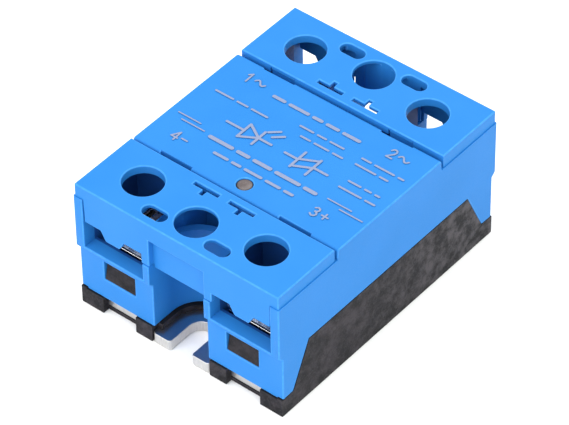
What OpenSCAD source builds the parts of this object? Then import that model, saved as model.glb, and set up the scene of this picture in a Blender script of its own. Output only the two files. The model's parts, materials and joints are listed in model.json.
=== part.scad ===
// Panel-mount solid state relay: an aluminium base plate in a moulded frame, a housing full of
// power electronics, four screw terminals, and a hinged cover over the terminals at each end.
// Frame: origin at the bottom centre, +Z up, X across, -Y towards the control end.

/* [Body] */
// Width of the housing
body_w = 44.8; // [44.4:0.1:46]
// Length over the two wire entry faces
body_l = 59.2; // [58.8:0.1:60]
// Height to the top of the covers
body_h = 28.1; // [28:0.1:30]
// Distance between the two mounting points
mount_pitch = 47.6; // [47:0.1:48]

/* [Base] */
// Thickness of the aluminium base plate
plate_t = 2.4; // [2:0.1:2.6]
// Radius of the mounting slot and hole
mount_r = 2.4; // [2.1:0.05:2.6]
// Height of the mounting feet
foot_h = 3.65; // [3.5:0.05:3.8]
// Height of the frame's side panels
panel_h = 13.1; // [12.6:0.1:13.2]

/* [Covers] */
// Thickness of a cover's top
cover_t = 1.65; // [1.6:0.05:1.8]
// Radius of the screwdriver holes
access_r = 3.75; // [3:0.05:4]
// Length of the oblong probe holes
probe_l = 5; // [4:0.1:5.2]
// Width of the oblong probe holes
probe_w = 2.6; // [2:0.1:2.7]

/* [Terminals] */
// Distance of a terminal screw from the middle of the body, across
screw_x = 13.45; // [13.2:0.05:13.6]
// Distance of a terminal screw from the middle of the body, along
screw_y = 21.7; // [21.5:0.05:21.9]
// Thread diameter of the output terminal screws
output_thread = 5; // [4:0.5:5]
// Thread diameter of the control terminal screws
control_thread = 4; // [3.5:0.5:5]

/* [Status window] */
// Diameter of the status window
window_d = 3; // [2:0.1:4]
// Distance of the window from the middle, towards the control end
window_y = 11.2; // [10:0.1:11.2]

/* [Hidden] */
$fn = 64;

play = 0.05;                          // gap between pieces that are fixed to each other

half_w = body_w / 2;
half_l = body_l / 2;
mount_y = mount_pitch / 2;
lower_y = half_l - 0.9;               // end face of the lower blocks
seam_z = body_h - 2.7;                // where the covers sit on the housing
panel_z = body_h - 0.5;               // top of the middle panel
panel_y = 14.05;                      // end of the middle panel
panel_r = 0.55;                       // rounding along the panel's ends
inner_y = 12.9;                       // inside of the electronics bay, along
chamber_y = 15.6;                     // inner end of a terminal chamber
chamber_x0 = 7.4;                     // a terminal chamber, across
chamber_x1 = 20.5;
channel_r = 6.0;                      // mounting channel, half width
crown_r = 7.3;                        // outside of the wall round the mounting channel
crown_z = 20.7;                       // top of that wall
ledge_y = 26.4;                       // the wire ledge, inner edge
ledge_z = 14.5;
pocket_z = 13.2;                      // floor under a terminal bar
floor_z = 12.0;                       // underside of that floor
side_t = 1.2;                         // thickness of the frame's side panels
flank_y0 = 21.7;                      // where the side panels' full height ends
flank_y1 = 26.0;                      // where the slope down to their low ends does

plate_x = half_w - side_t - play;
plate_y = lower_y - 1.2;              // end of the plate between the feet
tab_x = 6.4;                          // half width of the plate's end tabs
end_y = lower_y + 0.31;               // end faces of the feet and the plate's tabs
rebate_z = 1.0;                       // lip under the plate's ends
foot_x1 = 10.1;                       // inner feet: tab_x to foot_x1
foot_x2 = 17.45;                      // corner feet: foot_x2 to the side

window_x0 = 10.1;                     // latch windows in the housing's end walls
window_x1 = 17.1;
window_z0 = 8.2;
window_z1 = 12.35;

cover_x = half_w - 0.2;               // the covers stand a little inside the housing
cover_y0 = 14.7;                      // inner edge of a cover
cover_y1 = half_l - 0.2;
cover_web = 0.85;                     // thinner middle of a cover's top
skirt_t = 1.2;
skirt_x = chamber_x1 - 0.2;
skirt_z = 20.3;                       // lower edge of the skirt
tongue_z = 18.35;                     // lower edge of the tongue in the wire entry
tongue_w0 = 3.05;
tongue_w1 = 5.2;
recess_z0 = 17.4;                     // recessed middle of a cover's end face
recess_z1 = 24.3;
pillar_z = 18.2;                      // top of the housing's pillars outside the cover
hinge_y = 15.2;                       // hinge line of a cover
hinge_z = body_h - 0.8;
rail_r = 0.45;                        // round rail that a cover clips onto
rail_x0 = 10.5;
rail_x1 = 15.5;

boss_half = 4.8;                      // boss that holds a terminal nut
boss_y1 = 26.3;
boss_z = 9.0;
bar_t = 1.2;                          // terminal bars
leg_y = 10.2;                         // outer face of a terminal's leg or pin
leg_inset = 1.6;                      // a leg is narrower than its bar, on each side
leg_foot = 4.6;                       // length of a leg's foot on its island
bar_x0 = screw_x - 5.2;
bar_x1 = screw_x + 5.2;
leg_x0 = bar_x0 + leg_inset;
leg_x1 = bar_x1 - leg_inset;
clamp_in = 5.3;                       // a clamp plate, from its screw towards the middle
clamp_out = 4.3;                      // and towards the side
clamp_z0 = 14.45;
clamp_z1 = 16.3;
nut_t = 3.0;
half_nut = 4.0;
head_r = 4.2;
head_h = 3.2;
screw_end_z = 6.6;

board_z = 18.6;                       // control board
board_t = 1.6;
part_z = board_z + board_t + play;    // where the parts on the board stand
board_x = 19.6;
board_y = 11.8;
copper_t = 0.3;
ceramic_t = 0.65;
chip_t = 0.4;
chip = 9;
chip_x = 8.5;
chip_y = -5.2;                        // near edge of a thyristor
track_z = plate_t + copper_t + ceramic_t;
chip_z = track_z + copper_t;
strap_t = 0.5;
strap_x0 = -10.5;                     // a strap reaches from one thyristor
strap_x1 = 3.4;                       // to the other's island
strap_w = 3.0;
gate_r = 0.4;
gel_z = 9.5;

blue = [0.26, 0.62, 0.96];
black = [0.2, 0.2, 0.21];
copper = [0.8, 0.5, 0.3];
tin = [0.8, 0.8, 0.8];
steel = [0.72, 0.73, 0.75];

// A box between two corners
module block(x0, x1, y0, y1, z0, z1) {
    translate([x0, y0, z0]) cube([x1 - x0, y1 - y0, z1 - z0]);
}

// A copy at each end of the body
module both_ends() {
    children();
    mirror([0, 1, 0]) children();
}

// A copy on each side of the body
module both_sides() {
    children();
    mirror([1, 0, 0]) children();
}

// A Y-Z outline extruded from x0 to x1
module along_x(x0, x1) {
    translate([x0, 0, 0]) rotate([90, 0, 90]) linear_extrude(x1 - x0) children();
}

// An X-Z outline extruded from y0 to y1
module along_y(y0, y1) {
    translate([0, y1, 0]) rotate([90, 0, 0]) linear_extrude(y1 - y0) children();
}

// A bar with round ends, centred, along X
module oblong(length, width, height) {
    for (end = [-1, 1]) translate([end * (length - width) / 2, 0, 0]) cylinder(d=width, h=height);
    translate([-(length - width) / 2, -width / 2, 0]) cube([length - width, width, height]);
}

// The outline of a side panel, which the housing is recessed for
module side_outline(grow, top) {
    polygon([[-end_y - grow, play], [end_y + grow, play],
             [end_y + grow, foot_h + 0.25 + grow], [flank_y1 + grow, foot_h + 0.35 + grow],
             [flank_y0 + grow, top + grow], [-flank_y0 - grow, top + grow],
             [-flank_y1 - grow, foot_h + 0.35 + grow], [-end_y - grow, foot_h + 0.25 + grow]]);
}

// The open end of the mounting channel at one end, as a cutter
module channel(radius, z0, z1) {
    translate([0, mount_y, z0]) cylinder(r=radius, h=z1 - z0);
    block(-radius, radius, mount_y, half_l + 1, z0, z1);
}

// Base plate: open slot at the control end, round hole at the output end
module base_plate() {
    tab_r = 0.9;
    color("silver") difference() {
        union() {
            block(-plate_x, plate_x, -plate_y, plate_y, 0, plate_t);
            both_ends() both_sides() {
                block(0, tab_x - play, plate_y - 1, end_y - tab_r, 0, plate_t);
                block(0, tab_x - play - tab_r, plate_y - 1, end_y, 0, plate_t);
                translate([tab_x - play - tab_r, end_y - tab_r, 0]) cylinder(r=tab_r, h=plate_t);
            }
        }
        translate([0, mount_y, -1]) cylinder(r=mount_r, h=plate_t + 2);
        mirror([0, 1, 0]) {
            translate([0, mount_y, -1]) cylinder(r=mount_r, h=plate_t + 2);
            block(-mount_r, mount_r, mount_y, end_y + 1, -1, plate_t + 1);
            both_sides() slot_mouth();
        }
        both_ends() both_sides()
            block(foot_x1 - 1, foot_x2 + 1, plate_y - 1.2, plate_y + 1, -1, rebate_z);
    }
}

// Rounds the corner where the open slot meets the end of the plate
module slot_mouth() {
    mouth_r = 0.6;
    difference() {
        block(mount_r - 0.01, mount_r + mouth_r, end_y - mouth_r, end_y + 1, -1, plate_t + 1);
        translate([mount_r + mouth_r, end_y - mouth_r, -2]) cylinder(r=mouth_r, h=plate_t + 4);
    }
}

// Moulded frame: side panels, feet, a flange over the plate's rim, and the latches
module base_frame() {
    flange_z0 = plate_t + play;
    flange_z1 = foot_h - play;
    flange_x = 20.4;                      // inner edge of the flange along the sides
    color(black) union() {
        both_sides() {
            along_x(half_w - side_t, half_w) side_outline(0, panel_h);
            block(flange_x, half_w - side_t + 0.01, -flank_y1, flank_y1, flange_z0, flange_z1);
        }
        both_ends() {
            difference() {
                block(-half_w + 1, half_w - 1, inner_y + 0.1, plate_y - play, flange_z0, flange_z1);
                channel(channel_r - 0.7, 0, foot_h + 1);
            }
            both_sides() {
                foot(tab_x, foot_x1);
                foot(foot_x2, half_w);
                block(foot_x1 - 1 + play, foot_x2 + 1 - play, plate_y - 1.1, plate_y + 0.15,
                      play, rebate_z - play);
                latch();
            }
        }
    }
}

// One foot beside the plate's tab or at the corner
module foot(x0, x1) {
    block(x0, x1, plate_y + play, end_y, play, foot_h - play);
    block(x0, x1, plate_y - 1.5, plate_y + play + 0.01, plate_t + play, foot_h - play);
}

// A latch post, whose wedge head catches in a window in the housing's end wall
module latch() {
    post_y = boss_y1 + 2 * play;
    post_t = 0.75;
    along_x(window_x0 + 0.5, window_x1 - 0.5) {
        polygon([[post_y, foot_h - 0.5], [post_y + post_t, foot_h - 0.5],
                 [post_y + post_t, window_z1 - 0.35], [post_y, window_z1 - 0.35]]);
        polygon([[post_y, window_z0 + 0.3], [lower_y - 1, window_z0 + 0.3],
                 [lower_y - 1, window_z1 - 0.35], [post_y, window_z1 - 0.35]]);
    }
    along_x(window_x0 + 0.15, window_x1 - 0.15)
        polygon([[lower_y - 1.1, window_z0 + 0.1], [lower_y - 0.1, window_z0 + 0.1],
                 [lower_y - 0.9, window_z1 - 0.1], [lower_y - 1.1, window_z1 - 0.1]]);
}

// The housing's outside, seen from the side
module housing_outline() {
    for (side = [-1, 1]) translate([side * (panel_y - panel_r), panel_z - panel_r])
        circle(r=panel_r);
    polygon([[-panel_y, seam_z - 1], [panel_y, seam_z - 1],
             [panel_y, panel_z - panel_r], [panel_y - panel_r, panel_z - panel_r],
             [panel_y - panel_r, panel_z], [-panel_y + panel_r, panel_z],
             [-panel_y + panel_r, panel_z - panel_r], [-panel_y, panel_z - panel_r]]);
    polygon([[-lower_y, foot_h], [lower_y, foot_h], [lower_y, pocket_z], [half_l, ledge_z - 0.45],
             [half_l, seam_z], [-half_l, seam_z], [-half_l, ledge_z - 0.45], [-lower_y, pocket_z]]);
}

// Housing: the moulded body
module housing() {
    bay_x = half_w - 1.5;
    low_x = half_w - side_t - 1.4;
    color(blue) {
        difference() {
            along_x(-half_w, half_w) housing_outline();
            block(-bay_x, bay_x, -inner_y, inner_y, panel_h + 0.3, panel_z - 1.6);
            block(-low_x, low_x, -inner_y, inner_y, 0, panel_h + 1);
            both_sides() along_x(half_w - side_t - play, half_w + 1) side_outline(play, panel_h);
            translate([0, -window_y, panel_z - 3]) cylinder(d=window_d, h=4);
            both_ends() {
                channel(channel_r, 0, seam_z + 1);
                translate([0, mount_y, crown_z]) cylinder(r=crown_r, h=seam_z);
                hollow();
                both_sides() terminal_cutter();
            }
        }
        both_ends() both_sides() hinge_rail();
        both_sides() both_ends()
            block(board_x - 1.5, bay_x + 0.1, 5, 7, panel_h - 1, board_z - play);
    }
}

// Hollow between the wall round the mounting channel and the electronics bay
module hollow() {
    difference() {
        block(-channel_r, channel_r, panel_y + 0.25, mount_y - 4, ledge_z + 0.5, seam_z + 1);
        translate([0, mount_y, 0]) cylinder(r=crown_r, h=body_h);
    }
}

// Everything cut away round one terminal
module terminal_cutter() {
    clearance_r = 2.8;                    // hole under the nut for the screw's end
    block(chamber_x0, chamber_x1, chamber_y, half_l + 1, ledge_z, seam_z + 1);
    block(chamber_x0, chamber_x1, chamber_y, ledge_y, pocket_z, ledge_z + 1);
    difference() {
        block(chamber_x0, half_w - side_t - 1.4, inner_y + 1.7, lower_y - 1.4, 0, floor_z);
        block(screw_x - boss_half, screw_x + boss_half, boss_y1 - 2 * boss_half, boss_y1,
              boss_z, floor_z + 1);
    }
    block(window_x0, window_x1, lower_y - 2, lower_y + 1, window_z0, window_z1);
    block(channel_r - 0.1, chamber_x0 + 0.1, ledge_y + 0.4, half_l + 1, pillar_z, seam_z + 1);
    block(rail_x0 - 0.9, rail_x1 + 0.9, panel_y - panel_r, panel_y + 0.2, seam_z - 0.8, panel_z + 1);
    block(bar_x0 - play, bar_x1 + play, inner_y - 1, chamber_y + 1,
          pocket_z, pocket_z + bar_t + play);
    translate([screw_x, screw_y, 0]) {
        block(-half_nut - play, half_nut + play, -half_nut - play, half_nut + play,
              pocket_z - nut_t - 2 * play, pocket_z + 1);
        cylinder(r=clearance_r, h=pocket_z);
    }
}

// Round rail on a neck, for a cover to clip onto
module hinge_rail() {
    along_x(rail_x0, rail_x1) {
        translate([hinge_y, hinge_z]) circle(r=rail_r);
        polygon([[hinge_y - 0.2, seam_z - 0.5], [hinge_y + 0.2, seam_z - 0.5],
                 [hinge_y + 0.2, hinge_z], [hinge_y - 0.2, hinge_z]]);
    }
}

// Terminal cover, drawn for the output end
module cover() {
    top_z = body_h - cover_t;
    wall_y = cover_y1 - 2.0;              // inner face of the recessed wall
    wall_x = chamber_x0 - 0.2;
    rim_z = seam_z + 2 * play;
    web_x = 9.5;                          // half width of the top's thinner middle
    probe_x = 6.8;
    probe_y = 26.45;
    difference() {
        union() {
            block(-cover_x, cover_x, cover_y0, cover_y1, top_z, body_h);
            both_sides() {
                block(cover_x - 1.4, cover_x, cover_y0, cover_y1, rim_z, body_h);
                along_y(cover_y1 - skirt_t, cover_y1) skirt_outline();
            }
            block(-cover_x, cover_x, cover_y1 - skirt_t, cover_y1, rim_z, body_h);
            block(-wall_x, wall_x, wall_y, cover_y1, pillar_z + 0.1, top_z + 0.1);
            block(-channel_r + 0.2, channel_r - 0.2, wall_y, cover_y1, recess_z0, top_z);
        }
        for (x = [-screw_x, screw_x]) translate([x, screw_y, 0]) cylinder(r=access_r, h=body_h + 1);
        translate([0, mount_y, 0]) cylinder(r=access_r, h=body_h + 1);
        both_sides() {
            translate([probe_x, probe_y, 0]) oblong(probe_l, probe_w, body_h + 1);
            t_slot(top_z - 1, body_h + 1);
            along_x(rail_x0 - 0.2, rail_x1 + 0.2) hinge_socket();
        }
        block(-channel_r, channel_r, cover_y1 - skirt_t, cover_y1 + 1, 0, recess_z1);
        block(-web_x, web_x, hinge_y + 0.7, wall_y, top_z - 0.1, body_h - cover_web);
    }
}

// A T-shaped slot: a bar across, with a stem towards the terminals
module t_slot(z0, z1) {
    slot_w = 0.8;
    bar_y = 16.15;
    stem_x = 3.45;
    stem_y = 18.2;
    block(1.1, 6.55, bar_y, bar_y + slot_w, z0, z1);
    block(stem_x, stem_x + slot_w, bar_y + slot_w - 0.05, stem_y, z0, z1);
}

// The skirt in front of one wire entry, with its tongue
module skirt_outline() {
    mid = (chamber_x0 + 0.3 + skirt_x) / 2 + 0.15;
    polygon([[channel_r, body_h - 1], [channel_r, pillar_z + 0.1],
             [chamber_x0 + 0.3, pillar_z + 0.1], [chamber_x0 + 0.3, skirt_z],
             [mid - tongue_w1 / 2, skirt_z], [mid - tongue_w0 / 2, tongue_z],
             [mid + tongue_w0 / 2, tongue_z], [mid + tongue_w1 / 2, skirt_z],
             [skirt_x, skirt_z], [skirt_x, body_h - 1]]);
}

// Socket round the hinge rail, open below and towards the middle panel
module hinge_socket() {
    socket_r = rail_r + 0.05;
    translate([hinge_y, hinge_z]) circle(r=socket_r);
    polygon([[cover_y0 - 1, 0], [hinge_y + 0.3, 0], [hinge_y + 0.3, hinge_z - 0.2],
             [hinge_y, hinge_z + 0.25], [cover_y0 - 1, hinge_z + 0.25]]);
}

module front_cover() {
    color(blue) mirror([0, 1, 0]) cover();
}

module rear_cover() {
    color(blue) cover();
}

// Tinted light pipe that shows the status light
module led_window() {
    color([0.45, 0.42, 0.42]) translate([0, -window_y, 0]) {
        translate([0, 0, board_z + board_t + 2.3]) cylinder(d=window_d + 0.3, h=3.4);
        translate([0, 0, panel_z - 3.6]) cylinder(d=window_d - 2 * play, h=3.55);
    }
}

module status_led() {
    color("tomato") translate([-0.8, -window_y - 0.4, part_z])
        cube([1.6, 0.8, 0.9]);
}

// Copper under the ceramic, soldered to the base plate
module base_copper() {
    color(copper) block(-18, 18, -10.6, 10.6, plate_t, plate_t + copper_t);
}

module ceramic_substrate() {
    color("white") block(-18.6, 18.6, -11.2, 11.2, plate_t + copper_t, track_z);
}

// The line and load islands, and a pad for each bridge strap
module copper_tracks() {
    color(copper) both_sides() block(2, 17.6, -6, 10.4, track_z, chip_z);
}

// One thyristor die on its island
module thyristor(side) {
    color([0.35, 0.36, 0.42])
        block(side * chip_x - chip / 2, side * chip_x + chip / 2, chip_y, chip_y + chip,
              chip_z, chip_z + chip_t);
}

module thyristor_line() {
    thyristor(-1);
}

module thyristor_load() {
    thyristor(1);
}

// Near edge of each bridge strap
function strap_y(turn) = turn == 0 ? -4.4 : 0.2;

// Each strap joins the top of one thyristor to the other's island
module bridge_straps() {
    top = chip_z + chip_t;
    color(copper) for (turn = [0, 1]) mirror([turn, 0, 0]) {
        y0 = strap_y(turn);
        y1 = y0 + strap_w;
        block(strap_x0, strap_x1, y0, y1, top, top + strap_t);
        block(strap_x1 - 1, strap_x1, y0, y1, chip_z, top + 0.01);
    }
}

// Output terminal: a bar under the clamp, and a leg down to its island
module output_terminal() {
    difference() {
        union() {
            block(bar_x0, bar_x1, leg_y - bar_t, ledge_y - 0.6, pocket_z, pocket_z + bar_t);
            block(leg_x0, leg_x1, leg_y - bar_t, leg_y, chip_z, pocket_z + 0.01);
            block(leg_x0, leg_x1, leg_y - leg_foot, leg_y, chip_z, chip_z + 1);
        }
        translate([screw_x, screw_y, 0]) cylinder(d=output_thread + 0.6, h=30);
    }
}

// Control terminal: a bar under the clamp, and a pin up to the board
module control_terminal() {
    difference() {
        union() {
            block(bar_x0, bar_x1, leg_y - bar_t, ledge_y - 0.6, pocket_z, pocket_z + bar_t);
            block(screw_x - 0.6, screw_x + 0.6, leg_y - bar_t, leg_y,
                  pocket_z + 0.5, board_z + board_t + 0.8);
        }
        translate([screw_x, screw_y, 0]) cylinder(d=control_thread + 0.6, h=30);
    }
}

module line_terminal() {
    color(tin) mirror([1, 0, 0]) output_terminal();
}

module load_terminal() {
    color(tin) output_terminal();
}

module plus_terminal() {
    color(tin) mirror([0, 1, 0]) control_terminal();
}

module minus_terminal() {
    color(tin) mirror([0, 1, 0]) mirror([1, 0, 0]) control_terminal();
}

// A square nut under each terminal bar
module terminal_nuts() {
    color(steel) for (end = [-1, 1]) for (side = [-1, 1])
        translate([side * screw_x, end * screw_y, pocket_z - play - nut_t]) difference() {
            block(-half_nut, half_nut, -half_nut, half_nut, 0, nut_t);
            translate([0, 0, -1]) cylinder(d=thread_at(end) + 0.1, h=nut_t + 2);
        }
}

// Thread diameter at the output end (1) or the control end (-1)
function thread_at(end) = end > 0 ? output_thread : control_thread;

// Clamp plate that rises with its screw
module clamp_at(side, end) {
    bore = thread_at(end) + 0.1;
    x0 = side > 0 ? -clamp_in : -clamp_out;
    x1 = side > 0 ? clamp_out : clamp_in;
    half_y = 4.7;
    grip_y = 3.8;                         // the narrower grip underneath
    grip_h = 0.45;
    color(tin) translate([side * screw_x, end * screw_y, 0]) difference() {
        union() {
            block(x0, x1, -half_y, half_y, clamp_z0 + grip_h, clamp_z1);
            block(x0 + 0.4, x1 - 0.4, -grip_y, grip_y, clamp_z0, clamp_z0 + grip_h + 0.01);
        }
        cylinder(d=bore, h=30);
    }
}

// Pan head screw with a cross recess, captive in its clamp plate
module screw_at(side, end) {
    thread = thread_at(end);
    head_z = clamp_z1 + play;
    cross_l = 4.8;
    cross_w = 1;
    color(steel) translate([side * screw_x, end * screw_y, 0]) difference() {
        union() {
            translate([0, 0, screw_end_z]) cylinder(d=thread, h=head_z - screw_end_z + 0.5);
            translate([0, 0, head_z]) cylinder(r=head_r, h=head_h - 1);
            translate([0, 0, head_z + head_h - 1]) cylinder(r1=head_r, r2=head_r - 0.8, h=1);
        }
        for (turn = [0, 90]) rotate(turn)
            translate([-cross_l / 2, -cross_w / 2, head_z + head_h - 1.9])
                cube([cross_l, cross_w, 3]);
    }
}

module line_clamp() {
    clamp_at(-1, 1);
}

module load_clamp() {
    clamp_at(1, 1);
}

module plus_clamp() {
    clamp_at(1, -1);
}

module minus_clamp() {
    clamp_at(-1, -1);
}

module line_screw() {
    screw_at(-1, 1);
}

module load_screw() {
    screw_at(1, 1);
}

module plus_screw() {
    screw_at(1, -1);
}

module minus_screw() {
    screw_at(-1, -1);
}

// Printed circuit board over the power stage
module control_board() {
    color("seagreen") difference() {
        block(-board_x, board_x, -board_y, board_y, board_z, board_z + board_t);
        for (x = [-screw_x, screw_x]) translate([x, bar_t / 2 - leg_y, board_z - 1])
            cylinder(d=1.9, h=board_t + 2);
        for (side = [-1, 1]) translate([side * chip_x, gate_y(side), board_z - 1])
            cylinder(r=gate_r + 0.05, h=board_t + 2);
    }
}

// Where the gate pin of each thyristor stands
function gate_y(side) = side < 0 ? 2.6 : -3.8;

// Pins from the thyristors' gates up to the board
module gate_pins() {
    color(copper) for (side = [-1, 1])
        translate([side * chip_x, gate_y(side), chip_z + chip_t])
            cylinder(r=gate_r, h=board_z + board_t + 0.8 - chip_z - chip_t);
}

// Optical trigger between the control side and the power side
module trigger_chip() {
    color("dimgray") {
        block(-3.2, 3.2, -3, 3.6, part_z + 0.6, part_z + 3.6);
        for (x = [-2.5, 0, 2.5]) {
            block(x - 0.3, x + 0.3, -4.4, -2.9, part_z, part_z + 0.9);
            block(x - 0.3, x + 0.3, 3.5, 5, part_z, part_z + 0.9);
        }
    }
}

// Regulator that lets the input work over a wide voltage range
module input_regulator() {
    color("dimgray") {
        block(5, 9.5, -10.2, -6.6, part_z + 0.1, part_z + 1.6);
        for (x = [5.7, 7.25, 8.8]) block(x - 0.35, x + 0.35, -6.7, -5.6, part_z, part_z + 0.5);
    }
}

// Chip resistors in a row
module board_resistors() {
    color("dimgray") for (y = [-7.5, -4.5, -1.5, 5])
        block(-10.6, -7.4, y, y + 1.6, part_z, part_z + 0.6);
}

// Box capacitor of the snubber
module snubber_capacitor() {
    color("goldenrod") block(11, 18, -4, 9, part_z, panel_z - 1.9);
}

// Disc that absorbs voltage surges, under the board
module surge_absorber() {
    color("royalblue") translate([0, 3, board_z - 2.6]) cylinder(d=10, h=2.4);
}

// Soft gel poured over the power stage
module silicone_gel() {
    color([0.85, 0.88, 0.8, 0.5]) difference() {
        block(-19.7, 19.7, -12.8, 12.8, track_z + play, gel_z);
        block(-18.7, 18.7, -11.3, 11.3, track_z, chip_z);
        for (side = [-1, 1]) {
            block(side * chip_x - chip / 2, side * chip_x + chip / 2, chip_y, chip_y + chip,
                  track_z, chip_z + chip_t);
            translate([side * chip_x, gate_y(side), track_z]) cylinder(r=gate_r, h=20);
        }
        for (turn = [0, 1]) mirror([turn, 0, 0]) {
            y0 = strap_y(turn);
            block(strap_x0, strap_x1, y0, y0 + strap_w, chip_z, chip_z + chip_t + strap_t);
            block(leg_x0, leg_x1, leg_y - leg_foot, leg_y, track_z, chip_z + 1);
            block(leg_x0, leg_x1, leg_y - bar_t, leg_y, track_z, gel_z + 1);
        }
    }
}

base_plate();
base_frame();
housing();
front_cover();
rear_cover();
led_window();
status_led();
base_copper();
ceramic_substrate();
copper_tracks();
thyristor_line();
thyristor_load();
bridge_straps();
line_terminal();
load_terminal();
plus_terminal();
minus_terminal();
terminal_nuts();
line_clamp();
load_clamp();
plus_clamp();
minus_clamp();
line_screw();
load_screw();
plus_screw();
minus_screw();
control_board();
gate_pins();
trigger_chip();
input_regulator();
board_resistors();
snubber_capacitor();
surge_absorber();
silicone_gel();
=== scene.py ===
import json
import math

import bmesh
import bpy
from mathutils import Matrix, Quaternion, Vector


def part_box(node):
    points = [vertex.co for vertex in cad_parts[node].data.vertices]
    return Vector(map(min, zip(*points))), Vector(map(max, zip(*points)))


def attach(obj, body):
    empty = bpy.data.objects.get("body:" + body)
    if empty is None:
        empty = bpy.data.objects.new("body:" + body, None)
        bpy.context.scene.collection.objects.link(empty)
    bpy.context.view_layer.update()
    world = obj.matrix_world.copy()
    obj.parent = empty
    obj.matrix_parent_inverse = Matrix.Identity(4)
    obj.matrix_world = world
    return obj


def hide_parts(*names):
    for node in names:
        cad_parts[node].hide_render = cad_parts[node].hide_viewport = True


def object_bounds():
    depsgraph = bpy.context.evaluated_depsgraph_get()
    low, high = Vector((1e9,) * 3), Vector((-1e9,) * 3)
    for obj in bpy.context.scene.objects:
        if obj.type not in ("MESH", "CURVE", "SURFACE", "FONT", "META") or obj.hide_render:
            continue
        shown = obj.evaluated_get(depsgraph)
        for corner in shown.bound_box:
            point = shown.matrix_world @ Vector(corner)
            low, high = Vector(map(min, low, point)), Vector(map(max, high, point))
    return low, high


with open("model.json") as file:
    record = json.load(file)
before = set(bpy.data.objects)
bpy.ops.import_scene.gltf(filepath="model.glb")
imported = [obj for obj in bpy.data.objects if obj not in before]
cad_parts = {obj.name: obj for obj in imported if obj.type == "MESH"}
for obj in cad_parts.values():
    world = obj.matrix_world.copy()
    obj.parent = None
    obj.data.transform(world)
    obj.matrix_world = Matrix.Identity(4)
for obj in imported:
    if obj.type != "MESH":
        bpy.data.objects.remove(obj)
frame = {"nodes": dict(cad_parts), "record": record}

# A solid state relay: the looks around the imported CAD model. Blender works in metres; the shapes
# below are worked out in millimetres and scaled down when they become objects.

MM = 0.001
CAD_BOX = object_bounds()
NODES = frame["nodes"]
BODY_OF = {n: b for b, ns in frame["record"]["behaviour"]["bodies"].items() for n in ns}
SLOT_OF = {p["node"]: p["material_slot"] for p in frame["record"]["subparts"]}
TERMINALS = ("line", "load", "plus", "minus")
THREAD_PITCH = {"line": 0.8, "load": 0.8, "plus": 0.7, "minus": 0.7}
THREAD_RADIUS = {"line": 2.5, "load": 2.5, "plus": 2.0, "minus": 2.0}
THREAD_PLAY = 0.06      # between a screw's thread and its clamp plate's bore
PIN_RADIUS = 0.4        # the gate pins


def box_mm(node):
    """A CAD node's lowest and highest corners in millimetres."""
    low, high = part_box(node)
    return low / MM, high / MM


# ---------------------------------------------------------------- node helpers

def shader(name, roughness=0.5, metallic=0.0, specular=0.5):
    """A new material; returns it, its node tree and its Principled shader."""
    material = bpy.data.materials.new(name)
    material.use_nodes = True
    tree = material.node_tree
    bsdf = tree.nodes["Principled BSDF"]
    bsdf.inputs["Roughness"].default_value = roughness
    bsdf.inputs["Metallic"].default_value = metallic
    bsdf.inputs["Specular IOR Level"].default_value = specular
    return material, tree, bsdf


def add(tree, kind, values=None, **settings):
    """Adds a node; values go to its input sockets by name, settings to its own properties."""
    node = tree.nodes.new(kind)
    for key, value in settings.items():
        setattr(node, key, value)
    for key, value in (values or {}).items():
        node.inputs[key].default_value = value
    return node


def coordinates(tree, scale=(1, 1, 1), turn=(0, 0, 0)):
    """Object coordinates, which are the frame's own, scaled to stretch a pattern."""
    source = add(tree, "ShaderNodeTexCoord")
    mapping = add(tree, "ShaderNodeMapping", {"Scale": scale, "Rotation": turn})
    tree.links.new(source.outputs["Object"], mapping.inputs["Vector"])
    return mapping.outputs["Vector"]


def facing_up(tree):
    """1 where a face looks up, 0 where it stands, -1 where it looks down."""
    facing = add(tree, "ShaderNodeSeparateXYZ")
    tree.links.new(add(tree, "ShaderNodeTexCoord").outputs["Normal"], facing.inputs[0])
    return facing.outputs["Z"]


def position(tree):
    """A node whose outputs X, Y and Z are the place in the frame, in metres."""
    place = add(tree, "ShaderNodeSeparateXYZ")
    tree.links.new(coordinates(tree), place.inputs[0])
    return place


def noise(tree, scale, detail=3.0, roughness=0.5, vector=None):
    """Noise from 0 to 1; scale is in patches per metre."""
    node = add(tree, "ShaderNodeTexNoise",
               {"Scale": scale, "Detail": detail, "Roughness": roughness})
    tree.links.new(vector or coordinates(tree), node.inputs["Vector"])
    return node.outputs["Fac"]


def spread(tree, value, low, high, from_low=0.3, from_high=0.7):
    """Maps a 0 to 1 value onto low to high."""
    node = add(tree, "ShaderNodeMapRange",
               {"From Min": from_low, "From Max": from_high, "To Min": low, "To Max": high})
    tree.links.new(value, node.inputs["Value"])
    return node.outputs["Result"]


def blend_colours(tree, factor, first, second):
    """first and second are colours or output sockets."""
    node = add(tree, "ShaderNodeMix", data_type="RGBA")
    tree.links.new(factor, node.inputs[0])
    for socket, colour in ((node.inputs[6], first), (node.inputs[7], second)):
        if isinstance(colour, tuple):
            socket.default_value = (*colour, 1)
        else:
            tree.links.new(colour, socket)
    return node.outputs[2]


def bump(tree, bsdf, height, strength, distance):
    """Adds a bump; several calls stack."""
    node = add(tree, "ShaderNodeBump", {"Strength": strength, "Distance": distance})
    tree.links.new(height, node.inputs["Height"])
    before = bsdf.inputs["Normal"].links
    if before:
        tree.links.new(before[0].from_socket, node.inputs["Normal"])
    tree.links.new(node.outputs["Normal"], bsdf.inputs["Normal"])


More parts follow.
